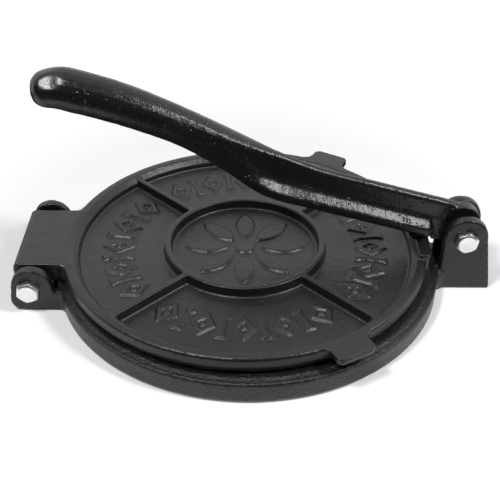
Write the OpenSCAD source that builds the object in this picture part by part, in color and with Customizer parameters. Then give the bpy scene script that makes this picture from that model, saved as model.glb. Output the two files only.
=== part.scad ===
// Cast-iron tortilla press: a ribbed base, a hinged top plate and a long pressing lever.
// Millimetres, +Z up. The origin is the centre of the base disc on the surface it stands on.
// The plate hinge lies at -X, the lever pivot at +X, and both axes run along Y.

/* [Base plate] */
// Diameter of the base disc
base_d = 210; // [206:1:224]
// Height of the base disc's outer edge
base_edge_h = 12; // [11:0.5:15]
// Height of the raised pressing face above that edge
platen_step = 0.8; // [0.4:0.1:2]
// Width of the ledge round the pressing face
ledge_w = 4; // [2:0.5:6]
// Thickness of the base under the pressing face
base_skin = 5; // [4:0.5:7]
// Thickness of the base's outer wall
base_wall = 6; // [4:0.5:9]
// Thickness of the ribs under the base
base_rib_w = 5; // [3:0.5:8]
// Diameter of the hub where those ribs meet
base_hub_d = 26; // [18:1:36]
// Bevel round the top and bottom of the base's edge
base_bevel = 1.2; // [0.4:0.1:2]

/* [Plate hinge] */
// Distance from the base's edge out to the hinge axis
hinge_out = 11.3; // [10.9:0.1:14]
// Height of the hinge axis
hinge_h = 13.8; // [13:0.1:15]
// Width over both hinge lugs
lug_span = 70.6; // [66:0.2:84]
// Thickness of one hinge lug
lug_t = 5.4; // [4:0.2:6.4]
// Radius of a hinge lug's round top
lug_r = 10.9; // [9.5:0.1:12]
// How far the middle of that round top lies inwards of the hinge axis
lug_in = 1.6; // [0:0.1:3]
// How far it lies above the hinge axis
lug_up = 1.2; // [0:0.1:2]
// Radius of a lug's lower outer corner
lug_heel_r = 6.4; // [3:0.2:8]
// How much further out that corner reaches than the round top
lug_heel_out = 1.2; // [0:0.1:2]
// Height of the arm that joins a lug to the base
lug_arm_h = 11.6; // [8:0.2:11.8]
// Fillet between a lug and the base
lug_fillet = 4; // [3:0.5:9]
// Fillet between a lug's round top and its arm
lug_inner_fillet = 2.6; // [1:0.2:4]
// Height of the low web between the two lugs
lug_web_h = 4; // [2:0.2:4.4]
// How far that web reaches out past the base's edge
lug_web_out = 3.5; // [1:0.5:5]
// Radius of the underside of the top plate's hinge barrel
barrel_r = 9; // [7:0.1:9.6]
// Height of the hinge tongue's top above the hinge axis
tongue_top = 10.4; // [9.8:0.1:11]
// Width of the hinge tongue and its barrel
tongue_w = 53.4; // [44:0.2:54.8]
// Radius of the tongue's upper outer edge
tongue_edge_r = 3; // [1:0.5:5]
// Radius of the corners where the tongue meets the rim
tongue_fillet = 7.5; // [5:0.5:14]

/* [Lever mount] */
// Distance from the base's edge out to the lever pivot
pivot_out = 12.2; // [11.8:0.1:16]
// Height of the lever pivot
pivot_h = 32.2; // [31:0.2:36]
// Width over both ears
ear_span = 26.2; // [25:0.2:34]
// Thickness of one ear
ear_t = 5.6; // [4.6:0.2:6.4]
// Radius of an ear's round top
ear_r = 11.8; // [9.8:0.2:11.8]
// How far the middle of that round top lies above the pivot
ear_up = 0.8; // [0:0.1:1.4]
// How much further out the ear's outer edge is at its foot
ear_flare = 5.3; // [2:0.1:9]
// Height of the web that ties the ears together
ear_web_h = 7; // [5:0.5:9]
// Fillet between an ear and the base
ear_fillet = 7.5; // [3:0.5:10]

/* [Top plate] */
// Diameter of the top plate
top_d = 199.2; // [196:0.2:201]
// Distance from the base's centre to the top plate's centre, towards the hinge
top_shift = 1.8; // [0:0.1:3]
// Gap between the two pressing faces when closed
press_gap = 0.3; // [0.2:0.1:0.6]
// Thickness of the top plate inside its rim
top_skin = 4.1; // [3.5:0.1:5]
// Height of the rim above the pressing face
rim_h = 10.3; // [9:0.1:11]
// Width of the rim's flat top
rim_w = 5; // [4:0.1:8]
// Width of the slope inside the rim
rim_slope_w = 3.2; // [2:0.1:7]
// Height of that slope, with an upright wall below it
rim_slope_h = 3.2; // [2:0.1:4.6]
// How far the foot of that wall lies inside its top
rim_wall_draft = 0.4; // [0.2:0.1:1]
// Bevel round the rim's outer edge
rim_bevel = 1; // [0.4:0.1:2]
// How far the plate's side draws in towards the pressing face
side_taper_w = 2.4; // [0.4:0.1:3]
// Height of the part of the side that draws in
side_taper_h = 4.6; // [2:0.1:6]
// Diameter of the raised ring's centre line
ring_d = 85.4; // [76:0.2:96]
// Width of the raised ring's top
ring_w = 3.2; // [2:0.1:5]
// Height of the raised ring above the pressing face
ring_h = 9.5; // [8:0.1:10]
// Width of a radial rib
rib_w = 3; // [2:0.1:5]
// Height of a radial rib above the pressing face
rib_h = 9.1; // [8:0.1:9.4]
// Slope added to each side of the ring and ribs at their foot
rib_draft = 0.8; // [0.3:0.1:1.4]

/* [Lifting tabs and pressure pad] */
// Angle of each lifting tab away from the lever's side
tab_angle = 60; // [52:1:72]
// How far a tab reaches past the rim
tab_reach = 10.2; // [6:0.2:14]
// Width of a tab
tab_w = 22; // [16:0.5:30]
// Thickness of a tab
tab_t = 3.6; // [3:0.2:7]
// Radius of a tab's corners
tab_corner_r = 3.5; // [2:0.5:6]
// Width of the pressure pad under the lever
pad_w = 37; // [28:1:50]
// How far the pad reaches past the rim
pad_out = 1.6; // [0.5:0.1:2.4]
// Height of the pressure pad above the rim
pad_rise = 2.6; // [1.6:0.1:3]
// Distance from the rim's outer edge to the pad's inner foot
pad_depth = 9.8; // [9.4:0.2:14]
// Length of the pad's flat top, measured in from the rim's outer edge
pad_top_l = 5.2; // [5:0.1:7]

/* [Lever] */
// Horizontal distance from the pivot to the end of the grip
lever_reach = 225.8; // [216:0.2:240]
// Height of the grip's end above the pivot
lever_rise = 81; // [74:0.5:90]
// Thickness of the grip
grip_d = 22; // [18:0.5:26]
// Thickness of the round neck between the beam and the grip
neck_d = 18.4; // [15:0.2:22]
// Horizontal length of the straight beam, from the pivot
beam_l = 80; // [70:1:90]
// Slope of the beam, in degrees
beam_slope = 15.4; // [14:0.2:18]
// Height of the beam's middle above the pivot, carried on to the pivot
beam_lift = 3.9; // [3:0.1:4.6]
// Height of the lever's T-shaped beam
beam_h = 21; // [19:0.2:22]
// Horizontal length of the bend between the beam and the neck
bend_l = 48; // [40:1:56]
// How far the bend climbs
bend_rise = 22; // [18:0.2:26]
// Height of the section halfway round the bend
knee_h = 23; // [20:0.5:26]
// Horizontal length of the neck
neck_l = 24; // [18:1:30]
// How far the neck climbs
neck_rise = 12.6; // [10:0.2:15]
// Thickness of the beam's upright web
web_t = 6.4; // [5:0.2:9]
// Width of the beam's lower flange
flange_w = 18; // [16:0.5:24]
// Thickness of the lower flange at its edge
flange_t = 5.2; // [4.6:0.2:8]
// How far the flange's upper face climbs from its edge to the web
flange_rise = 4.2; // [1:0.1:4.4]
// Distance from the pivot to the near end of the flange
flange_start = 18.6; // [17.4:0.2:22]
// Radius of the flange's corners at that end
flange_corner_r = 3; // [1:0.5:5]
// Distance from the pivot to the middle of the lever's round end
end_in = 1.6; // [0:0.1:3]
// Distance from the pivot to the near edge of the heel under that round end
heel_out = 16.8; // [12:0.2:16.8]
// How far the heel's near edge leans towards the grip
heel_lean = 2.6; // [0:0.1:2.6]
// Radius of the bosses round the pivot hole
boss_r = 8.6; // [7:0.2:10]
// Distance from the pivot to the foot that presses on the pad
foot_out = 23.8; // [22.6:0.2:25]
// Radius of the foot's rounded underside
foot_r = 6.5; // [4:0.5:8]
// Width of the foot
foot_w = 9.6; // [8:0.2:20]

/* [Bolts] */
// Diameter of both bolts (1/4 inch)
bolt_d = 6.35; // [5:0.05:7]
// Width across the flats of the bolt heads and nuts (7/16 inch)
hex_af = 11.1; // [10:0.1:12.5]
// Height of a bolt head
head_h = 4.2; // [3.5:0.1:5]
// Height of a nut
nut_h = 5.6; // [4.5:0.1:6.5]
// Thickness of a washer
washer_t = 1.6; // [1:0.1:2]
// Outer diameter of a washer
washer_d = 15.9; // [13:0.1:17]
// How far a bolt reaches past its nut
bolt_past_nut = 3.2; // [1:0.1:6]
// How far the bolt heads and nuts are turned about their axes
hex_turn = 12; // [0:1:30]

/* [Raised ornament] */
// Height of the ornament above the plate's floor
relief_h = 1.3; // [0.6:0.1:2]
// Radius of the middle of the ornament in the four panels
relief_r = 70; // [66:0.5:73]
// Height of that ornament, measured along the radius
relief_w = 18; // [12:0.5:20]
// Width of a lozenge, across the radius
lozenge_w = 13; // [9:0.5:14]
// Width of the raised strokes
stroke_w = 2.4; // [1.6:0.1:3]
// Number of lozenges in each panel
lozenges = 5; // [2:1:5]
// Angle between neighbouring lozenges
lozenge_step = 17; // [16:0.5:17.5]
// Number of petals in the middle
petals = 8; // [5:1:8]
// Radius from the centre to a petal's tip
petal_reach = 33; // [26:0.5:36]
// Radius from the centre to a petal's foot
petal_foot = 9; // [7.5:0.5:12]
// Width of a petal
petal_w = 10; // [7:0.5:11]
// Radius of the round button in the middle
button_r = 5.5; // [3:0.5:6.5]

/* [Clearances] */
// Radial clearance of a bolt in a hole it turns in
running_fit = 0.08; // [0.02:0.01:0.1]
// Side gap between the lever's boss and each ear
side_gap = 0.3; // [0.2:0.05:0.6]
// Gap between the lever's foot and the pressure pad
foot_gap = 0.3; // [0.2:0.05:0.5]

/* [Hidden] */

$fn = 96;
eps = 0.01;
sink = 1;              // how far a raised feature reaches down into the casting that carries it
web_side = 0.4;        // how much thicker than the web the lever's round end is, on each side
iron = "#2b2c2e";
zinc = "#c9ccd0";

base_r = base_d / 2;
base_h = base_edge_h + platen_step;
hinge_x = -(base_r + hinge_out);
pivot_x = base_r + pivot_out;
lug_y = lug_span / 2 - lug_t;
ear_y = ear_span / 2 - ear_t;

top_r = top_d / 2;
top_z = base_h + press_gap;
floor_z = top_z + top_skin;
rim_z = top_z + rim_h;
ring_r = ring_d / 2;
rim_inner_r = top_r - rim_w;
floor_r = rim_inner_r - rim_slope_w - rim_wall_draft;
tongue_z = hinge_h + tongue_top;
pad_z = rim_z + pad_rise;
top_edge_x = top_r - top_shift;

hole_r = bolt_d / 2 + running_fit;
foot_x = pivot_x - foot_out;

// ---------- shared shapes ----------

// A cylinder along Y between two values of y.
module y_cylinder(r, x, z, y0, y1) {
    translate([x, y1, z]) rotate([90, 0, 0]) cylinder(r = r, h = y1 - y0);
}

// A flat profile in X and Z, stretched along Y between two values of y.
module y_slab(y0, y1) {
    translate([0, y1, 0]) rotate([90, 0, 0]) linear_extrude(height = y1 - y0) children();
}

// Fills the corner between a disc about the origin and an upright face at y = face_y, on the
// +X side, with a fillet of radius r that touches both.
module disc_fillet(disc_r, face_y, r, h) {
    cy = face_y + r;
    cx = sqrt(pow(disc_r + r, 2) - cy * cy);
    touch = disc_r / (disc_r + r);
    linear_extrude(height = h)
        difference() {
            polygon([[cx, face_y - sink], [cx, cy], [cx * touch, cy * touch],
                     [cx * touch - 2 * sink, cy * touch], [cx * touch - 2 * sink, face_y - sink]]);
            translate([cx, cy]) circle(r = r);
        }
}

// The same corner on both sides of the part's middle plane.
module disc_fillets(disc_r, face_y, r, h) {
    for (side = [0, 1])
        mirror([0, side, 0]) disc_fillet(disc_r, face_y, r, h);
}

// ---------- base plate ----------

module base_disc() {
    platen_r = base_r - ledge_w;
    rotate_extrude($fn = 180)
        polygon([[0, 0], [base_r - base_bevel, 0], [base_r, base_bevel],
                 [base_r, base_edge_h - base_bevel / 2], [base_r - base_bevel / 2, base_edge_h],
                 [platen_r + platen_step, base_edge_h], [platen_r, base_h], [0, base_h]]);
}

// The hollow under the base, with its four ribs and its hub left standing.
module base_hollow() {
    hollow_r = base_r - base_wall;
    difference() {
        translate([0, 0, -eps]) cylinder(r = hollow_r, h = base_h - base_skin + eps, $fn = 180);
        for (turn = [45, 135])
            rotate(turn) translate([-base_r, -base_rib_w / 2, -1]) cube([base_d, base_rib_w, base_h]);
        translate([0, 0, -1]) cylinder(d = base_hub_d, h = base_h);
    }
}

// A lug has a round top, a round heel at the table and an arm that runs into the base.
module hinge_lug_profile() {
    cx = hinge_x + lug_in;
    cz = hinge_h + lug_up;
    heel_x = cx - lug_r - lug_heel_out + lug_heel_r;
    inner_x = -(base_r - 2 * ledge_w - base_wall);
    // the straight side that touches both rounds
    run = cz - lug_heel_r;
    shift = cx - heel_x;
    turn = atan2(shift, run) - asin((lug_r - lug_heel_r) / sqrt(run * run + shift * shift));
    // the small fillet between the round top and the arm
    fillet_z = lug_arm_h + lug_inner_fillet;
    fillet_x = cx + sqrt(pow(lug_r + lug_inner_fillet, 2) - pow(fillet_z - cz, 2));
    translate([cx, cz]) circle(r = lug_r);
    translate([heel_x, lug_heel_r]) circle(r = lug_heel_r);
    polygon([[cx - lug_r * cos(turn), cz + lug_r * sin(turn)],
             [heel_x - lug_heel_r * cos(turn), lug_heel_r + lug_heel_r * sin(turn)],
             [heel_x, lug_heel_r], [cx, lug_heel_r], [cx, cz]]);
    translate([heel_x, 0]) square([inner_x - heel_x, lug_arm_h]);
    difference() {
        translate([cx, lug_arm_h - sink]) square([fillet_x - cx, lug_inner_fillet + sink]);
        translate([fillet_x, fillet_z]) circle(r = lug_inner_fillet);
    }
}

module ear_profile() {
    inner_x = base_r - 2 * ledge_w - base_wall;
    top_z = pivot_h + ear_up;
    translate([pivot_x, top_z]) circle(r = ear_r);
    polygon([[inner_x, 0], [pivot_x + ear_r + ear_flare, 0], [pivot_x + ear_r, top_z],
             [pivot_x - ear_r, top_z], [pivot_x - ear_r, base_edge_h], [inner_x, base_edge_h]]);
}

module base_plate() {
    color(iron)
        difference() {
            union() {
                base_disc();
                for (side = [0, 1])
                    mirror([0, side, 0]) {
                        y_slab(lug_y, lug_span / 2) hinge_lug_profile();
                        y_slab(ear_y, ear_span / 2) ear_profile();
                    }
                translate([base_r - base_wall, -ear_y - eps, 0])
                    cube([pivot_out + base_wall + ear_r, 2 * ear_y + 2 * eps, ear_web_h]);
                translate([-base_r - lug_web_out, -lug_y - eps, 0])
                    cube([lug_web_out + 2 * ledge_w + base_wall, 2 * lug_y + 2 * eps, lug_web_h]);
                disc_fillets(base_r, ear_span / 2, ear_fillet, base_edge_h - base_bevel / 2);
                mirror([1, 0, 0]) disc_fillets(base_r, lug_span / 2, lug_fillet, lug_arm_h);
            }
            base_hollow();
            y_cylinder(hole_r, hinge_x, hinge_h, -lug_span, lug_span);
            y_cylinder(hole_r, pivot_x, pivot_h, -ear_span, ear_span);
        }
}

// ---------- top plate ----------

module top_disc() {
    rotate_extrude($fn = 180)
        polygon([[0, top_z], [top_r - side_taper_w, top_z], [top_r, top_z + side_taper_h],
                 [top_r, rim_z - rim_bevel], [top_r - rim_bevel, rim_z], [rim_inner_r, rim_z],
                 [rim_inner_r - rim_slope_w, rim_z - rim_slope_h], [floor_r, floor_z], [0, floor_z]]);
}

module raised_ring() {
    half = ring_w / 2;
    rotate_extrude($fn = 120)
        polygon([[ring_r - half - rib_draft, floor_z - sink], [ring_r + half + rib_draft, floor_z - sink],
                 [ring_r + half, top_z + ring_h], [ring_r - half, top_z + ring_h]]);
}

module radial_ribs() {
    half = rib_w / 2;
    for (turn = [45:90:315])
        rotate(turn) translate([ring_r, 0, 0]) rotate([90, 0, 90])
            linear_extrude(height = rim_inner_r - ring_r)
                polygon([[-half - rib_draft, floor_z - sink], [half + rib_draft, floor_z - sink],
                         [half, top_z + rib_h], [-half, top_z + rib_h]]);
}

module lifting_tab() {
    tip = top_r + tab_reach;
    half = tab_w / 2;
    translate([0, 0, rim_z - tab_t])
        linear_extrude(height = tab_t) {
            translate([rim_inner_r, -half]) square([tip - tab_corner_r - rim_inner_r, tab_w]);
            translate([rim_inner_r, -half + tab_corner_r])
                square([tip - rim_inner_r, tab_w - 2 * tab_corner_r]);
            for (side = [-1, 1])
                translate([tip - tab_corner_r, side * (half - tab_corner_r)]) circle(r = tab_corner_r);
        }
    translate([0, 0, rim_z - tab_t]) disc_fillets(top_r, half, tab_corner_r, tab_t);
}

// The hinge tongue and its barrel, in the part's own frame.
module hinge_tongue() {
    outer_x = hinge_x - barrel_r;
    y_slab(-tongue_w / 2, tongue_w / 2) {
        translate([hinge_x, hinge_h]) circle(r = barrel_r);
        translate([outer_x + tongue_edge_r, tongue_z - tongue_edge_r]) circle(r = tongue_edge_r);
        translate([outer_x, hinge_h]) square([barrel_r, tongue_top - tongue_edge_r]);
        translate([outer_x + tongue_edge_r, hinge_h])
            square([barrel_r - tongue_edge_r + sink, tongue_top]);
        translate([hinge_x, top_z]) square([rim_inner_r, tongue_z - top_z]);
    }
}

// The pad that the lever's foot presses on, level with the middle of the rim.
module pressure_pad() {
    intersection() {
        y_slab(-pad_w / 2, pad_w / 2)
            polygon([[top_r - pad_depth, floor_z - sink], [top_r + 2 * pad_out, floor_z - sink],
                     [top_r + 2 * pad_out, pad_z], [top_r - pad_top_l, pad_z]]);
        translate([0, 0, top_z]) cylinder(r = top_r + pad_out, h = 2 * rim_h, $fn = 180);
    }
}

// A hollow lozenge with a bead in its middle, standing along the radius.
module lozenge() {
    l = relief_w / 2;
    w = lozenge_w / 2;
    thin = stroke_w * sqrt(l * l + w * w) / (l * w);
    difference() {
        polygon([[-l, 0], [0, -w], [l, 0], [0, w]]);
        polygon([[-l * (1 - thin), 0], [0, -w * (1 - thin)], [l * (1 - thin), 0], [0, w * (1 - thin)]]);
    }
    circle(r = stroke_w * 0.6, $fn = 24);
}

// A bar that flares at both ends, between two lozenges.
module flared_bar() {
    l = relief_w / 2 - stroke_w / 4;
    square([2 * l - stroke_w, stroke_w], center = true);
    for (side = [-1, 1])
        scale([side, 1])
            polygon([[l, -stroke_w * 1.2], [l, stroke_w * 1.2], [l - stroke_w * 1.4, stroke_w / 2 - eps],
                     [l - stroke_w * 1.4, eps - stroke_w / 2]]);
}

module panel_ornament() {
    first = -(lozenges - 1) / 2;
    linear_extrude(height = relief_h + sink) {
        for (i = [0:lozenges - 1])
            rotate((first + i) * lozenge_step) translate([relief_r, 0]) lozenge();
        for (i = [0:lozenges - 2])
            rotate((first + i + 0.5) * lozenge_step) translate([relief_r, 0]) flared_bar();
    }
}

// A petal is the overlap of two circles whose arcs meet at its foot and at its tip.
module petal() {
    long = (petal_reach - petal_foot) / 2;
    wide = petal_w / 2;
    arc_r = (long * long + wide * wide) / (2 * wide);
    translate([petal_foot + long, 0])
        intersection() {
            translate([0, arc_r - wide]) circle(r = arc_r);
            translate([0, wide - arc_r]) circle(r = arc_r);
        }
}

module rosette() {
    linear_extrude(height = relief_h + sink) {
        circle(r = button_r);
        for (i = [0:petals - 1])
            rotate(i * 360 / petals) petal();
    }
}

module top_plate() {
    color(iron)
        difference() {
            union() {
                translate([-top_shift, 0, 0]) {
                    top_disc();
                    raised_ring();
                    radial_ribs();
                    pressure_pad();
                    for (side = [-1, 1])
                        rotate(side * tab_angle) lifting_tab();
                    for (turn = [0:90:270])
                        rotate(turn) translate([0, 0, floor_z - sink]) panel_ornament();
                    translate([0, 0, floor_z - sink]) rosette();
                    translate([0, 0, top_z + side_taper_h / 2]) mirror([1, 0, 0])
                        disc_fillets(top_r - rim_bevel / 2, tongue_w / 2, tongue_fillet,
                                     rim_h - side_taper_h / 2);
                }
                difference() {
                    hinge_tongue();
                    translate([-top_shift, 0, top_z - sink])
                        cylinder(r = rim_inner_r + rim_w / 3, h = 2 * rim_h);
                }
            }
            y_cylinder(hole_r, hinge_x, hinge_h, -tongue_w, tongue_w);
        }
}

// ---------- lever ----------

// Stations along the lever: distance out from the pivot, height above the pivot, half height,
// half width of the upright part, and how far the section is round (0 is a T, 1 is round).
slope_rise = tan(beam_slope);
bend_z = beam_lift + beam_l * slope_rise;
neck_x = beam_l + bend_l;
neck_z = bend_z + bend_rise;
grip_x = neck_x + neck_l;
grip_z = neck_z + neck_rise;
grip_l = lever_reach - grip_x;
grip_rise = lever_rise - grip_z;
function on_beam(out) = [out, beam_lift + out * slope_rise];
function beam_station(out) = concat(on_beam(out), [beam_h / 2, web_t / 2, 0]);
STATIONS = [
    concat(on_beam(end_in), [beam_h / 2 - 1.2, web_t / 2 - 0.3, 1]),
    beam_station(beam_l * 0.13),
    beam_station(beam_l * 0.35),
    beam_station(beam_l * 0.66),
    beam_station(beam_l),
    [beam_l + bend_l / 2, bend_z + bend_rise * 0.38, knee_h / 2, web_t / 2, 0],
    [neck_x, neck_z, neck_d / 2 + 0.6, neck_d * 0.4, 0.45],
    [grip_x, grip_z, neck_d / 2 + 0.6, neck_d / 2, 1],
    [grip_x + grip_l * 0.4, grip_z + grip_rise * 0.6, grip_d / 2 - 0.4, grip_d / 2 - 0.4, 1],
    [lever_reach - grip_d * 0.8, lever_rise - 0.4, grip_d / 2, grip_d / 2, 1],
    [lever_reach - grip_d * 0.38, lever_rise, grip_d / 2 - 0.4, grip_d / 2 - 0.4, 1]
];
steps_between = 5;     // rings from one station to the next
cap_rings = 5;         // rings that round off the end of the grip

// A smooth curve through the stations, by Catmull-Rom, at position s counted in stations.
function station(i) = STATIONS[max(0, min(len(STATIONS) - 1, i))];
function blend(a, b, c, d, t) =
    0.5 * (2 * b + (c - a) * t + (2 * a - 5 * b + 4 * c - d) * t * t
           + (3 * b - a - 3 * c + d) * t * t * t);
function along(s) =
    let (i = min(floor(s), len(STATIONS) - 2), t = s - i)
    [for (k = [0:4]) blend(station(i - 1)[k], station(i)[k], station(i + 1)[k], station(i + 2)[k], t)];
function heading(s) =
    let (a = along(max(0, s - 0.05)), b = along(min(len(STATIONS) - 1, s + 0.05)))
    atan2(b[1] - a[1], b[0] - a[0]);

// Half of a section, from its top to its bottom, as [sideways, up] points about its centre.
// The T shape and the round shape have the same number of points, so that one turns into the other.
function tee_half(h, w) =
    let (f = flange_w / 2, t = -h + flange_t, j = t + flange_rise)
    [[0, h], [w * 0.55, h - 0.4], [w * 0.9, h - 1.4], [w, h - 3], [w, j + 2], [w + 0.5, j + 0.3],
     [min(w + 1.5, f - 1.4), t + flange_rise * 0.72], [f - 1, t + 0.35], [f, t - 0.7], [f, -h + 1],
     [f - 0.8, -h], [0, -h]];
ROUND_ANGLES = [90, 72, 54, 36, 20, 6, -8, -24, -40, -56, -72, -90];
function round_half(h, w) = [for (a = ROUND_ANGLES) [w * cos(a), h * sin(a)]];
function half_section(s) =
    let (v = along(s), r = max(0, min(1, v[4])), tee = tee_half(v[2], v[3]), round = round_half(v[2], v[3]))
    [for (k = [0:len(tee) - 1]) tee[k] * (1 - r) + round[k] * r];
function full_section(half) =
    concat(half, [for (k = [len(half) - 2:-1:1]) [-half[k][0], half[k][1]]]);

// A ring of points in the part's frame: centre out and up from the pivot, turned by its heading.
function ring_points(section, out, up, angle, size) =
    [for (p = section)
        [pivot_x - out + p[1] * size * sin(angle), p[0] * size, pivot_h + up + p[1] * size * cos(angle)]];

body_rings = [for (j = [0:(len(STATIONS) - 1) * steps_between])
    let (s = j / steps_between, v = along(s))
    ring_points(full_section(half_section(s)), v[0], v[1], heading(s), 1)];
last = len(STATIONS) - 1;
cap_axis = heading(last);
cap_reach = lever_reach - STATIONS[last][0];
end_rings = [for (j = [1:cap_rings])
    let (a = j * 86 / cap_rings)
    ring_points(full_section(half_section(last)),
                STATIONS[last][0] + cap_reach * sin(a) * cos(cap_axis),
                STATIONS[last][1] + cap_reach * sin(a) * sin(cap_axis), cap_axis, pow(cos(a), 0.85))];

module lofted(rings) {
    n = len(rings[0]);
    m = len(rings);
    polyhedron(
        points = [for (ring = rings) for (p = ring) p],
        faces = concat(
            [[for (k = [0:n - 1]) k]],
            [for (j = [0:m - 2]) for (k = [0:n - 1])
                [j * n + k, (j + 1) * n + k, (j + 1) * n + (k + 1) % n]],
            [for (j = [0:m - 2]) for (k = [0:n - 1])
                [j * n + k, (j + 1) * n + (k + 1) % n, j * n + (k + 1) % n]],
            [[for (k = [n - 1:-1:0]) (m - 1) * n + k]]));
}

// Cuts the flange away near the pivot, so that only the web runs in between the ears, and rounds
// its corners in plan.
module flange_cut() {
    tall = 4 * beam_h;
    r = flange_corner_r;
    for (side = [0, 1])
        mirror([0, side, 0]) translate([pivot_x - flange_start, 0, pivot_h - tall / 2]) {
            translate([0, web_t / 2 + web_side, 0]) cube([flange_start + beam_h, flange_w, tall]);
            linear_extrude(height = tall)
                difference() {
                    translate([-r, flange_w / 2 - r]) square([r + eps, r + flange_w]);
                    translate([-r, flange_w / 2 - r]) circle(r = r);
                }
        }
}

// The lever's round end, with the heel that fills the corner under the beam.
module round_end() {
    end = on_beam(end_in);
    r = beam_h / 2;
    x = pivot_x - end[0];
    z = pivot_h + end[1];
    heel_x = pivot_x - heel_out;
    y_slab(-web_t / 2 - web_side, web_t / 2 + web_side) {
        translate([x, z]) circle(r = r);
        polygon([[x, z - r], [heel_x, z - r], [heel_x - heel_lean, z - r + 1.85 * heel_lean],
                 [heel_x, z - r + 1.85 * heel_lean + 2 * sink], [x, z]]);
    }
}

// The rounded foot under the flange.
module pressing_foot() {
    foot_z = pad_z + foot_gap + foot_r;
    y_slab(-foot_w / 2, foot_w / 2) {
        translate([foot_x, foot_z]) circle(r = foot_r);
        translate([foot_x - foot_r / 2, foot_z]) square([foot_r, foot_r]);
    }
}

module lever() {
    boss_y = ear_y - side_gap;
    color(iron)
        difference() {
            union() {
                difference() {
                    lofted(concat(body_rings, end_rings));
                    flange_cut();
                }
                round_end();
                y_cylinder(boss_r, pivot_x, pivot_h, -boss_y, boss_y);
                pressing_foot();
            }
            y_cylinder(hole_r, pivot_x, pivot_h, -ear_span, ear_span);
        }
}

// ---------- bolts, washers and nuts ----------

// Hexagon along Y between two values of y, with the corners of its outer face cut back at 30
// degrees from a circle a little smaller than its flats.
module hexagon(x, z, y0, y1, outer_at_y1) {
    corner_r = hex_af / 2 / cos(30);
    face_r = hex_af * 0.48;
    h = y1 - y0;
    intersection() {
        translate([x, y1, z]) rotate([90, 0, 0]) rotate(hex_turn) cylinder(r = corner_r, h = h, $fn = 6);
        translate([x, outer_at_y1 ? y0 : y1, z]) rotate([outer_at_y1 ? -90 : 90, 0, 0])
            rotate_extrude($fn = 48)
                polygon([[0, 0], [corner_r + 1, 0], [corner_r + 1, h - (corner_r + 1 - face_r) * tan(30)],
                         [face_r, h], [0, h]]);
    }
}

// A bolt along Y whose head bears on y = -grip / 2 and whose nut and washer lie past +grip / 2.
module bolt(x, z, grip) {
    tip = grip / 2 + washer_t + nut_h + bolt_past_nut;
    color(zinc) {
        hexagon(x, z, -grip / 2 - head_h, -grip / 2, false);
        y_cylinder(bolt_d / 2, x, z, -grip / 2 - eps, tip);
    }
}

module washer(x, z, grip) {
    color(zinc)
        difference() {
            y_cylinder(washer_d / 2, x, z, grip / 2, grip / 2 + washer_t);
            y_cylinder(hole_r, x, z, grip / 2 - 1, grip / 2 + washer_t + 1);
        }
}

module nut(x, z, grip) {
    seat = grip / 2 + washer_t;
    color(zinc)
        difference() {
            hexagon(x, z, seat, seat + nut_h, true);
            y_cylinder(bolt_d / 2 + running_fit / 2, x, z, seat - 1, seat + nut_h + 1);
        }
}

module hinge_bolt() { bolt(hinge_x, hinge_h, lug_span); }
module hinge_washer() { washer(hinge_x, hinge_h, lug_span); }
module hinge_nut() { nut(hinge_x, hinge_h, lug_span); }
module lever_bolt() { bolt(pivot_x, pivot_h, ear_span); }
module lever_washer() { washer(pivot_x, pivot_h, ear_span); }
module lever_nut() { nut(pivot_x, pivot_h, ear_span); }

base_plate();
top_plate();
lever();
hinge_bolt();
hinge_washer();
hinge_nut();
lever_bolt();
lever_washer();
lever_nut();
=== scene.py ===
import math

import bmesh
import bpy
import numpy as np
from mathutils import Matrix, Vector


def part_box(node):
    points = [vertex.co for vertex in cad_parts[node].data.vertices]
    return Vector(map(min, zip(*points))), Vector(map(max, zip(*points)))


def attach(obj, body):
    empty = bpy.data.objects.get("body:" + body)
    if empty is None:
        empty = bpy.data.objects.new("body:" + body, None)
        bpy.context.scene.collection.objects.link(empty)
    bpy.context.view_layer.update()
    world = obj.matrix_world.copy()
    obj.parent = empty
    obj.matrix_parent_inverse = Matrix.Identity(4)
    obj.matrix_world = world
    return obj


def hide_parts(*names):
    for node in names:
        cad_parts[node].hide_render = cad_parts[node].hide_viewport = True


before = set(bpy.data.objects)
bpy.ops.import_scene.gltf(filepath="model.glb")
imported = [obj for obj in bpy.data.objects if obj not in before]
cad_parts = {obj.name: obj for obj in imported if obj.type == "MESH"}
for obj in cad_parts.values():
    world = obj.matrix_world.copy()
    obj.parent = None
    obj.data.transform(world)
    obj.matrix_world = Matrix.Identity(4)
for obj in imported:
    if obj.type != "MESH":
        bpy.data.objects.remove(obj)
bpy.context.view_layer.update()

MM = 0.001


# ---------------------------------------------------------------- node helpers

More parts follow.
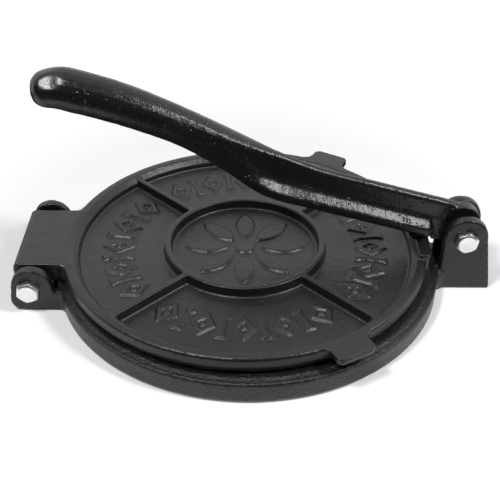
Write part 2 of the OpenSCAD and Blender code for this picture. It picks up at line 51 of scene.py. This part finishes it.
class Nodes:
    """Short calls for building one node tree, of a material or of the world."""

    def __init__(self, owner, output="ShaderNodeOutputMaterial"):
        owner.use_nodes = True
        self.owner = owner
        self.tree = owner.node_tree
        self.tree.nodes.clear()
        self.out = self.tree.nodes.new(output)

    def end(self, shader):
        """Ends the tree in this shader and returns the material or world."""
        self.put(self.out.inputs["Surface"], shader.outputs[0])
        return self.owner

    def add(self, kind, **values):
        node = self.tree.nodes.new(kind)
        for key, value in values.items():
            if key in node.inputs:
                self.put(node.inputs[key], value)
            else:
                setattr(node, key, value)
        return node

    def put(self, socket, value):
        if isinstance(value, bpy.types.NodeSocket):
            self.tree.links.new(value, socket)
        else:
            socket.default_value = value

    def coords(self):
        return self.add("ShaderNodeTexCoord").outputs["Object"]

    def length(self, vector):
        node = self.add("ShaderNodeVectorMath", operation="LENGTH")
        self.put(node.inputs[0], vector)
        return node.outputs["Value"]

    def noise(self, vector, scale, detail=3.0, rough=0.5):
        """Smooth noise; its scale, like that of the grains, is in waves per metre."""
        node = self.add("ShaderNodeTexNoise", Vector=vector, Scale=scale, Detail=detail, Roughness=rough)
        return node.outputs["Fac"]

    def grains(self, vector, scale, stops):
        """Separate grains: a ramp over the distance from each grain's middle."""
        node = self.add("ShaderNodeTexVoronoi", Vector=vector, Scale=scale, Randomness=1.0)
        return self.ramp(node.outputs["Distance"], stops)

    def ramp(self, fac, stops):
        """A colour ramp; each stop is a place and a grey level or an RGB colour."""
        node = self.add("ShaderNodeValToRGB", Fac=fac)
        marks = node.color_ramp.elements
        while len(marks) < len(stops):
            marks.new(0.5)
        for mark, (at, shade) in zip(marks, stops):
            colour = tuple(shade) if isinstance(shade, (tuple, list)) else (shade,) * 3
            mark.position = at
            mark.color = colour + (1.0,)
        return node.outputs["Color"]

    def span(self, fac, low, high, start=0.0, end=1.0):
        """fac from start to end carried over to low and high, and held at both."""
        ends = {"From Min": start, "From Max": end, "To Min": low, "To Max": high}
        return self.add("ShaderNodeMapRange", Value=fac, **ends).outputs["Result"]

    def math(self, operation, a, b):
        node = self.add("ShaderNodeMath", operation=operation)
        self.put(node.inputs[0], a)
        self.put(node.inputs[1], b)
        return node.outputs[0]

    def blend(self, a, b, share):
        """share of a and the rest of b."""
        return self.math("ADD", self.math("MULTIPLY", a, share), self.math("MULTIPLY", b, 1 - share))

    def bump(self, height, strength, distance, normal=None):
        node = self.add("ShaderNodeBump", Height=height, Strength=strength, Distance=distance)
        if normal is not None:
            self.put(node.inputs["Normal"], normal)
        return node.outputs["Normal"]

    def seen(self):
        """1 for rays that look at a surface, directly or in gloss, and 0 for those that light it."""
        path = self.add("ShaderNodeLightPath")
        mirrored = self.math("MAXIMUM", path.outputs["Is Glossy Ray"], path.outputs["Is Transmission Ray"])
        return self.math("MAXIMUM", path.outputs["Is Camera Ray"], mirrored)


def new_material(name):
    return Nodes(bpy.data.materials.new(name))


# ---------------------------------------------------------------- materials

def black_iron(name, grain, specks, shine, shades, roughness, wavy=0.5, sand=0.32 * MM, worn=None, calm=None):
    """Black semi-gloss paint over sand-cast iron.

    grain is how strongly the sand shows and sand how high it is, specks how high the scattered single
    grains stand, wavy the slow unevenness, and shine the strength of the mirroring. Beyond the x given
    as worn, hands have rubbed the sand nearly smooth. Outside the radius calm the sand stands lower.
    """
    n = new_material(name)
    at = n.coords()
    dark, light = shades
    tone = n.blend(n.noise(at, 42, detail=4, rough=0.6), n.noise(at, 900, detail=2, rough=0.6), 0.7)
    colour = n.ramp(tone, [(0.32, dark), (0.68, light)])
    smears = n.blend(n.noise(at, 120, detail=3), n.noise(at, 1500, detail=1), 0.6)
    wave_height = wavy * grain
    sand_height = 0.75 * grain
    if worn is not None:
        fade = 18 * MM
        axes = n.add("ShaderNodeSeparateXYZ", Vector=at)
        sandy = n.span(axes.outputs["X"], 0.2, 1.0, worn, worn + fade)
        wave_height = n.math("MULTIPLY", sandy, wave_height)
        sand_height = n.math("MULTIPLY", sandy, sand_height)
        specks = n.math("MULTIPLY", sandy, specks)
    if calm is not None:
        fade = 4 * MM
        level = n.add("ShaderNodeVectorMath", operation="MULTIPLY")
        n.put(level.inputs[0], at)
        n.put(level.inputs[1], (1.0, 1.0, 0.0))
        sand_height = n.span(n.length(level.outputs["Vector"]), sand_height, 0.25, calm, calm + fade)
    waves = n.bump(n.noise(at, 95, detail=3, rough=0.55), wave_height, 1.1 * MM)
    sanded = n.bump(n.noise(at, 620, detail=4, rough=0.62), sand_height, sand, waves)
    pitted = n.bump(n.grains(at, 260, [(0.05, 0.0), (0.22, 1.0)]), 0.30 * grain, 0.22 * MM, sanded)
    clusters = n.ramp(n.noise(at, 70, detail=3), [(0.46, 0.0), (0.60, 1.0)])
    dots = n.math("MULTIPLY", n.grains(at, 430, [(0.05, 1.0), (0.30, 0.0)]), clusters)
    shader = n.add("ShaderNodeBsdfPrincipled", Roughness=n.span(smears, *roughness))
    n.put(shader.inputs["Base Color"], colour)
    n.put(shader.inputs["Normal"], n.bump(dots, specks, 0.5 * MM, pitted))
    shader.inputs["Specular IOR Level"].default_value = shine
    return n.end(shader)


def zinc_plate(name):
    """Bright zinc plate with a faint turned grain and small dull spots."""
    n = new_material(name)
    at = n.coords()
    cloud = n.noise(at, 380, detail=4, rough=0.6)
    scratch = n.add("ShaderNodeMapping", Vector=at, Scale=(1.0, 0.15, 4.0))
    normal = n.bump(n.noise(scratch.outputs[0], 2200, detail=2), 0.25, 0.04 * MM)
    shader = n.add("ShaderNodeBsdfPrincipled", Roughness=n.span(n.noise(at, 900, detail=3), 0.26, 0.44))
    n.put(shader.inputs["Base Color"], n.ramp(cloud, [(0.3, (0.80, 0.81, 0.82)), (0.7, (0.92, 0.925, 0.93))]))
    n.put(shader.inputs["Normal"], normal)
    shader.inputs["Metallic"].default_value = 1.0
    return n.end(shader)


IRON_BASE = black_iron("painted_iron_base", grain=1.15, specks=0.8, shine=0.48,
                       shades=(0.006, 0.011), roughness=(0.26, 0.42), sand=0.7 * MM, calm=106 * MM)
IRON_TOP = black_iron("painted_iron_top", grain=0.85, specks=0.35, shine=0.52,
                      shades=(0.006, 0.011), roughness=(0.28, 0.44))
IRON_LEVER = black_iron("painted_iron_lever", grain=0.85, specks=0.75, shine=0.46,
                        shades=(0.005, 0.009), roughness=(0.22, 0.36), wavy=0.22, worn=-98 * MM)
ZINC = zinc_plate("zinc_plate")


# ---------------------------------------------------------------- mesh helpers

def new_object(name, mesh, material):
    obj = bpy.data.objects.new(name, mesh)
    bpy.context.scene.collection.objects.link(obj)
    mesh.materials.clear()
    mesh.materials.append(material)
    return obj


def applied(obj):
    """Replaces the object's mesh with its evaluated one and drops the modifiers."""
    graph = bpy.context.evaluated_depsgraph_get()
    mesh = bpy.data.meshes.new_from_object(obj.evaluated_get(graph))
    old = obj.data
    obj.modifiers.clear()
    obj.data = mesh
    bpy.data.meshes.remove(old)


def welded_copy(node, name, material):
    """A copy of a CAD node's mesh with its split corners joined."""
    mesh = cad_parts[node].data.copy()
    mesh.name = name
    bm = bmesh.new()
    bm.from_mesh(mesh)
    bmesh.ops.remove_doubles(bm, verts=bm.verts, dist=1e-7)
    bm.to_mesh(mesh)
    bm.free()
    return new_object(name, mesh, material)


def read(mesh, what="co"):
    """The vertices' places, or their normals, as rows of x, y and z."""
    flat = np.empty(len(mesh.vertices) * 3, np.float64)
    mesh.vertices.foreach_get(what, flat)
    return flat.reshape(-1, 3)


def write(mesh, points):
    mesh.vertices.foreach_set("co", np.ascontiguousarray(points, np.float32).ravel())
    mesh.update()


def ripple(points, seed, shortest, longest, waves=28):
    """A smooth random height between about -1 and 1 from a sum of plane waves."""
    rng = np.random.default_rng(seed)
    total = np.zeros(len(points))
    for _ in range(waves):
        direction = rng.normal(size=3)
        direction /= np.linalg.norm(direction)
        length = math.exp(rng.uniform(math.log(shortest), math.log(longest)))
        total += np.sin(points @ direction * (2 * math.pi / length) + rng.uniform(0, 2 * math.pi))
    return total / math.sqrt(waves)


def casting(node, name, material, voxel, soften, uneven, seed, keep=1.0):
    """A sand-cast copy of a CAD node: every edge softened and every face slightly uneven."""
    obj = welded_copy(node, name, material)
    low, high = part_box(node)
    remesh = obj.modifiers.new("remesh", "REMESH")
    remesh.mode = "VOXEL"
    remesh.voxel_size = voxel
    remesh.use_smooth_shade = True
    smooth = obj.modifiers.new("smooth", "SMOOTH")
    smooth.factor = 0.5
    smooth.iterations = soften
    if keep < 1.0:
        fewer = obj.modifiers.new("fewer", "DECIMATE")
        fewer.ratio = keep
    applied(obj)
    mesh = obj.data
    points = read(mesh)
    normals = read(mesh, "normal")
    slow = ripple(points, seed, 7 * MM, 30 * MM)
    quick = ripple(points, seed + 1, 2.5 * MM, 6 * MM)
    height = uneven * (0.6 * slow + 0.4 * quick)
    # sunk by as much as it is uneven, so that hardly anything stands past the CAD's faces
    points += normals * (height - uneven)[:, None]
    points = np.clip(points, np.array(low), np.array(high))
    write(mesh, points)
    mesh.shade_smooth()
    return obj


def fettle_tip(obj):
    """Grinds back the upper and lower corners of the grip's tip a little, and rubs the side towards
    the user to a slight flat."""
    start, run = -88 * MM, 18 * MM
    off_top, off_bottom = 1.6 * MM, 2.2 * MM
    points = read(obj.data)
    rubbed = np.array(Vector((-0.04, -0.70, 0.715)).normalized())
    facing = read(obj.data, "normal") @ rubbed

    near = np.clip((start - points[:, 0]) / run, 0, 1)
    near = near * near * (3 - 2 * near)
    heights = points[points[:, 0] < start, 2]
    middle = (heights.min() + heights.max()) / 2
    half = (heights.max() - heights.min()) / 2
    off = (points[:, 2] - middle) / half
    points[:, 2] -= near * np.where(off > 0, off_top, off_bottom) * off * np.abs(off)

    flat_radius, flat_depth, flat_share = 7.8 * MM, 0.6 * MM, 0.9
    towards_end = np.array((-1.6 * MM, 0.0, -0.6 * MM))
    end_x, straight_at_user = -90 * MM, 0.995
    spot = points[(points[:, 0] < end_x) & (facing > straight_at_user)].mean(axis=0) + towards_end
    off = points - spot
    height = off @ rubbed
    inside = np.clip(1 - (np.linalg.norm(off, axis=1) / flat_radius) ** 2, 0, 1)
    points -= np.outer(flat_share * inside ** 2 * (flat_depth + height), rubbed)
    write(obj.data, points)


base = casting("base_plate", "base_casting", IRON_BASE,
               voxel=0.8 * MM, soften=5, uneven=0.04 * MM, seed=11, keep=0.5)
top = casting("top_plate", "top_casting", IRON_TOP,
              voxel=0.6 * MM, soften=3, uneven=0.035 * MM, seed=23, keep=0.6)
lever = casting("lever", "lever_casting", IRON_LEVER,
                voxel=0.6 * MM, soften=4, uneven=0.06 * MM, seed=37, keep=0.8)
fettle_tip(lever)

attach(base, "base")
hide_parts("base_plate")
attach(top, "top")
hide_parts("top_plate")
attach(lever, "press_lever")
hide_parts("lever")


# ---------------------------------------------------------------- bolts, nuts and washers

# 1/4 inch hardware with 20 threads to the inch; every piece lies along Y
HEX_TURN = math.radians(20)
FLATS = 11.1 * MM
HEAD = 4.2 * MM
WASHER = 1.6 * MM
WASHER_WIDTH = 15.9 * MM
NUT = 5.6 * MM
PAST_NUT = 3.2 * MM
SHANK = 6.35 / 2 * MM
PITCH = 1.27 * MM
PAST_CORNERS = FLATS * 0.75


def lathe(profile, steps):
    """A closed ring of [radius, y] points turned about Y."""
    bm = bmesh.new()
    rings = []
    for radius, y in profile:
        if radius < 1e-9:
            rings.append([bm.verts.new((0, y, 0))])
        else:
            rings.append([bm.verts.new((radius * math.cos(a), y, radius * math.sin(a)))
                          for a in (2 * math.pi * k / steps for k in range(steps))])
    for first, second in zip(rings, rings[1:] + rings[:1]):
        if len(first) == 1 and len(second) == 1:
            continue
        for k in range(steps):
            corners = [first[k % len(first)], second[k % len(second)],
                       second[(k + 1) % len(second)], first[(k + 1) % len(first)]]
            unique = []
            for v in corners:
                if v not in unique:
                    unique.append(v)
            bm.faces.new(unique)
    bmesh.ops.recalc_face_normals(bm, faces=bm.faces)
    return bm


def to_object(bm, name, material):
    mesh = bpy.data.meshes.new(name)
    bm.to_mesh(mesh)
    bm.free()
    return new_object(name, mesh, material)


def combine(obj, other, operation):
    """Unites obj with the other object, cuts that away or keeps what both share, and drops it."""
    tool = obj.modifiers.new("combine", "BOOLEAN")
    tool.object = other
    tool.operation = operation
    tool.solver = "EXACT"
    bpy.context.view_layer.update()
    applied(obj)
    bpy.data.objects.remove(other)


def prism(across_flats, y0, y1, turn):
    """A hexagonal bar along Y, turned about it."""
    bm = bmesh.new()
    radius = across_flats / 2 / math.cos(math.pi / 6)
    ends = []
    for y in (y0, y1):
        ends.append([bm.verts.new((radius * math.cos(a), y, radius * math.sin(a)))
                     for a in (turn + k * math.pi / 3 for k in range(6))])
    bm.faces.new(ends[0])
    bm.faces.new(list(reversed(ends[1])))
    for k in range(6):
        j = (k + 1) % 6
        bm.faces.new([ends[0][k], ends[1][k], ends[1][j], ends[0][j]])
    bmesh.ops.recalc_face_normals(bm, faces=bm.faces)
    return bm


def place(obj, x, z, smooth_angle=0.6):
    """Moves the piece's mesh onto its axis and breaks its edges."""
    write(obj.data, read(obj.data) + np.array([x, 0.0, z]))
    soft = obj.modifiers.new("soft", "BEVEL")
    soft.width = 0.16 * MM
    soft.segments = 2
    soft.limit_method = "ANGLE"
    soft.angle_limit = 0.5
    applied(obj)
    obj.data.shade_smooth()
    obj.data.set_sharp_from_angle(angle=smooth_angle)
    return obj


def threaded_shank(y_start, y_tip, thread_length):
    """A shank along Y, plain at first and with a rolled 60-degree thread at its tip."""
    steps, depth = 40, 0.36 * MM
    y_thread = y_tip - thread_length
    rows = [y_start, y_thread - 0.2 * MM]
    y = y_thread
    while y < y_tip - 0.05 * MM:
        rows.append(y)
        y += PITCH / 8
    rows.append(y_tip)
    bm = bmesh.new()
    rings = []
    for y in rows:
        ring = []
        for k in range(steps):
            a = 2 * math.pi * k / steps
            cut = 0.0
            if y >= y_thread:
                phase = ((y - y_thread) / PITCH + k / steps) % 1.0
                run_in = min(1.0, (y - y_thread) / PITCH)
                cut = depth * run_in * (1 - abs(2 * phase - 1))
            point = SHANK - 0.02 * MM - cut
            chamfer = SHANK - 0.75 * MM + max(0.0, y_tip - y)
            radius = min(point, chamfer)
            ring.append(bm.verts.new((radius * math.cos(a), y, radius * math.sin(a))))
        rings.append(ring)
    for first, second in zip(rings, rings[1:]):
        for k in range(steps):
            j = (k + 1) % steps
            bm.faces.new([first[k], first[j], second[j], second[k]])
    bm.faces.new(list(reversed(rings[0])))
    bm.faces.new(rings[-1])
    bmesh.ops.recalc_face_normals(bm, faces=bm.faces)
    return bm


def make_bolt(name, x, z, grip):
    """A hex bolt through a joint that is grip thick; its head is on the user's side."""
    seat = -grip / 2
    face = seat - HEAD
    head = to_object(prism(FLATS, face, seat - 0.45 * MM, HEX_TURN), name, ZINC)
    # cut back at 33 degrees round the outer face, which is slightly dished as forged heads are
    outer = FLATS * 0.42
    dish = 0.30 * MM
    rise = (PAST_CORNERS - outer) * math.tan(math.radians(33))
    cone = lathe([(0, face + dish), (outer * 0.45, face + dish), (outer * 0.75, face + 0.08 * MM),
                  (outer * 0.93, face), (outer, face), (PAST_CORNERS, face + rise),
                  (PAST_CORNERS, seat + 1 * MM), (0, seat + 1 * MM)], 72)
    combine(head, to_object(cone, "cone", ZINC), "INTERSECT")
    foot = FLATS * 0.485
    under = lathe([(0, seat - 0.7 * MM), (FLATS * 0.46, seat - 0.7 * MM), (foot, seat - 0.35 * MM),
                   (foot, seat), (0, seat)], 72)
    combine(head, to_object(under, "under", ZINC), "UNION")
    shank = threaded_shank(seat - 1 * MM, grip / 2 + WASHER + NUT + PAST_NUT, NUT + PAST_NUT + 2 * MM)
    combine(head, to_object(shank, "shank", ZINC), "UNION")
    return place(head, x, z)


def make_washer(name, x, z, grip):
    near = grip / 2
    far = near + WASHER
    inner, outer = SHANK + 0.2 * MM, WASHER_WIDTH / 2
    ring = lathe([(inner, near), (outer - 0.1 * MM, near), (outer, near + 0.25 * MM),
                  (outer, far - 0.45 * MM), (outer - 0.4 * MM, far), (inner, far)], 96)
    return place(to_object(ring, name, ZINC), x, z)


def make_nut(name, x, z, grip):
    seat = grip / 2 + WASHER
    end = seat + NUT
    nut = to_object(prism(FLATS, seat + 0.3 * MM, end, HEX_TURN), name, ZINC)
    outer = FLATS * 0.475
    rise = (PAST_CORNERS - outer) * math.tan(math.radians(30))
    cone = lathe([(0, seat - 1 * MM), (outer, seat), (PAST_CORNERS, seat + rise), (PAST_CORNERS, end - rise),
                  (outer, end), (0, end)], 72)
    combine(nut, to_object(cone, "cone", ZINC), "INTERSECT")
    foot = FLATS * 0.47
    under = lathe([(0, seat), (foot, seat), (foot, seat + 0.5 * MM), (0, seat + 0.5 * MM)], 72)
    combine(nut, to_object(under, "under", ZINC), "UNION")
    # the bore opens out at both ends
    hole = SHANK + 0.03 * MM
    mouth_in, mouth_out = SHANK + 0.45 * MM, SHANK + 0.5 * MM
    bore = lathe([(0, seat - 1 * MM), (mouth_in, seat - 1 * MM), (mouth_in, seat + 0.1 * MM),
                  (hole, seat + 0.55 * MM), (hole, end - 0.55 * MM), (mouth_out, end - 0.08 * MM),
                  (mouth_out, end + 1 * MM), (0, end + 1 * MM)], 48)
    combine(nut, to_object(bore, "bore", ZINC), "DIFFERENCE")
    return place(nut, x, z)


def centre(node):
    """The x and z of the axis of a round node along Y."""
    low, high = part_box(node)
    return (low.x + high.x) / 2, (low.z + high.z) / 2


def grip_of(washer):
    """The thickness that a bolt holds, whose washer lies on its far side."""
    return 2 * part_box(washer)[0].y


for kind in ("hinge", "lever"):
    x, z = centre(kind + "_washer")
    grip = grip_of(kind + "_washer")
    for part, make in (("bolt", make_bolt), ("washer", make_washer), ("nut", make_nut)):
        node = kind + "_" + part
        piece = make(node + "_zinc", x, z, grip)
        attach(piece, "base")
        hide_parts(node)


# ---------------------------------------------------------------- floor, light and camera

scene = bpy.context.scene
scene.view_settings.view_transform = "Standard"

WHITE = (1, 1, 1, 1)
SOFT_FILL = 0.18
FLOOR_RADIUS = 6.0
FLOOR_DROP = 0.2 * MM
# the floor's glow grows from NEAR_GLOW at the object to 1 between these two distances
NEAR, FAR = 0.16, 0.55
NEAR_GLOW = 0.16
LAMP_SIZE = 0.18
LAMP_POWER = 6.6
LIT_POINT = (0.0, 0.0, 0.05)
ROOM_RADIUS = 2.2


def floor_material():
    n = new_material("pale_floor")
    at = n.coords()
    tone = n.span(n.noise(at, 3, detail=2), 0.80, 0.82)
    grey = n.add("ShaderNodeCombineColor", Red=tone, Green=tone, Blue=tone)
    paper = n.add("ShaderNodeBsdfDiffuse", Color=grey.outputs[0])
    # weaker lamp light far from the object is made up by the glow, so that all of it stays white
    reach = n.span(n.length(at), NEAR_GLOW, 1.0, NEAR, FAR)
    glow = n.add("ShaderNodeEmission", Color=WHITE, Strength=n.math("MULTIPLY", n.seen(), reach))
    both = n.add("ShaderNodeAddShader")
    n.put(both.inputs[0], paper.outputs[0])
    n.put(both.inputs[1], glow.outputs[0])
    return n.end(both)


def studio_world():
    """White where it is seen or mirrored, and a plain soft fill elsewhere."""
    n = Nodes(bpy.data.worlds.new("studio"), "ShaderNodeOutputWorld")
    level = n.span(n.seen(), SOFT_FILL, 1.0)
    return n.end(n.add("ShaderNodeBackground", Color=WHITE, Strength=level))


def soft_box(name, at):
    data = bpy.data.lights.new(name, "AREA")
    data.shape = "RECTANGLE"
    data.size, data.size_y = LAMP_SIZE, LAMP_SIZE
    data.energy = LAMP_POWER
    obj = bpy.data.objects.new(name, data)
    scene.collection.objects.link(obj)
    aim = (Vector(LIT_POINT) - Vector(at)).to_track_quat("-Z", "Y")
    obj.matrix_world = Matrix.Translation(at) @ aim.to_matrix().to_4x4()


def dark_room():
    """Painted shade, seen only in gloss: a dark quarter dome behind the camera, and dark sheets on the
    floor in front of the object and behind it, standing for the unlit part of the studio that glossy black
    paint mirrors."""
    bm = bmesh.new()
    rows, columns, lift = 12, 24, 1 * MM

    def quad(corners):
        bm.faces.new([bm.verts.new((x, y, lift)) for x, y in corners])

    grid = []
    for i in range(rows + 1):
        rise = math.radians(90 * i / rows)
        ring = []
        for k in range(columns + 1):
            a = math.pi + math.pi * k / columns
            level = ROOM_RADIUS * math.cos(rise)
            ring.append(bm.verts.new((level * math.cos(a), level * math.sin(a),
                                      ROOM_RADIUS * math.sin(rise) + lift)))
        grid.append(ring)
    for low_ring, high_ring in zip(grid, grid[1:]):
        for k in range(columns):
            bm.faces.new([low_ring[k], low_ring[k + 1], high_ring[k + 1], high_ring[k]])
    front = -0.13
    left, right, near, far = -0.5, 0.2, 0.03, 0.5
    quad([(-ROOM_RADIUS, front), (ROOM_RADIUS, front), (ROOM_RADIUS, -ROOM_RADIUS),
          (-ROOM_RADIUS, -ROOM_RADIUS)])
    quad([(left, near), (right, near), (right, far), (left, far)])
    bmesh.ops.remove_doubles(bm, verts=bm.verts, dist=1e-6)

    n = new_material("dark_room")
    # painted shade: a near-black sheet that only glossy rays see, laid where the floor itself stays lit and
    # white
    shade_tone = n.ramp(n.noise(n.coords(), 30), [(0.3, 0.004), (0.7, 0.008)])
    mirrored_shade = n.add("ShaderNodeBsdfDiffuse", Color=shade_tone)
    room = to_object(bm, "dark_room", n.end(mirrored_shade))
    room.visible_camera = False
    room.visible_diffuse = False
    room.visible_shadow = False


def photo_camera():
    """The camera stands where the photograph was taken from, with the same framing."""
    data = bpy.data.cameras.new("camera")
    obj = bpy.data.objects.new("camera", data)
    scene.collection.objects.link(obj)
    place_x, place_y, place_z = 0.0007, -0.4220, 0.3150
    elevation, azimuth, roll = (math.radians(a) for a in (36.73, 0.09, 0.35))
    backward = Vector((math.sin(azimuth) * math.cos(elevation), -math.cos(azimuth) * math.cos(elevation),
                       math.sin(elevation)))
    sideways = (-backward).cross(Vector((0, 0, 1))).normalized()
    upward = sideways.cross(-backward)
    right = sideways * math.cos(roll) + upward * math.sin(roll)
    up = upward * math.cos(roll) - sideways * math.sin(roll)
    obj.matrix_world = Matrix(((right.x, up.x, backward.x, place_x),
                               (right.y, up.y, backward.y, place_y),
                               (right.z, up.z, backward.z, place_z),
                               (0, 0, 0, 1)))
    data.lens = 66.61
    data.sensor_width = 36
    data.shift_x = 0.0038
    data.shift_y = 0.0446
    data.clip_start = 0.01
    return obj


bm = bmesh.new()
bmesh.ops.create_circle(bm, cap_ends=True, radius=FLOOR_RADIUS, segments=96)
floor = to_object(bm, "floor", floor_material())
floor.location.z = -FLOOR_DROP

scene.world = studio_world()
soft_box("left_box", (-0.37, -0.38, 0.96))
soft_box("right_box", (0.66, -0.28, 0.83))
dark_room()
scene.camera = photo_camera()
